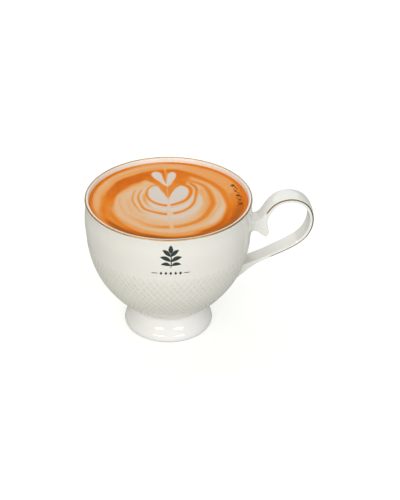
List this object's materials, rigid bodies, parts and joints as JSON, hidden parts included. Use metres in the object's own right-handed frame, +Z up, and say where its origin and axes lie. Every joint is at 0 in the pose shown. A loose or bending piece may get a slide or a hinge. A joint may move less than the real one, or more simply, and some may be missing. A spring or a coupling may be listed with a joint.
{
  "type": "cup of coffee with milk",
  "caption": "Flat white in a footed porcelain cup with a loop handle, a thumb spur and poured foam art on the drink.",
  "frame": {"origin": "centre of the foot ring, on the surface the cup stands on", "axes": "+Z up along the bowl's axis, +X out along the handle, -Y towards the decorated front"},
  "size_m": [0.1133, 0.0826, 0.0727],
  "materials": {
    "china": "gloss",
    "drink": "satin"
  },
  "bodies": {
    "root": {"cup": "china", "coffee": "drink"}
  },
  "joints": []
}
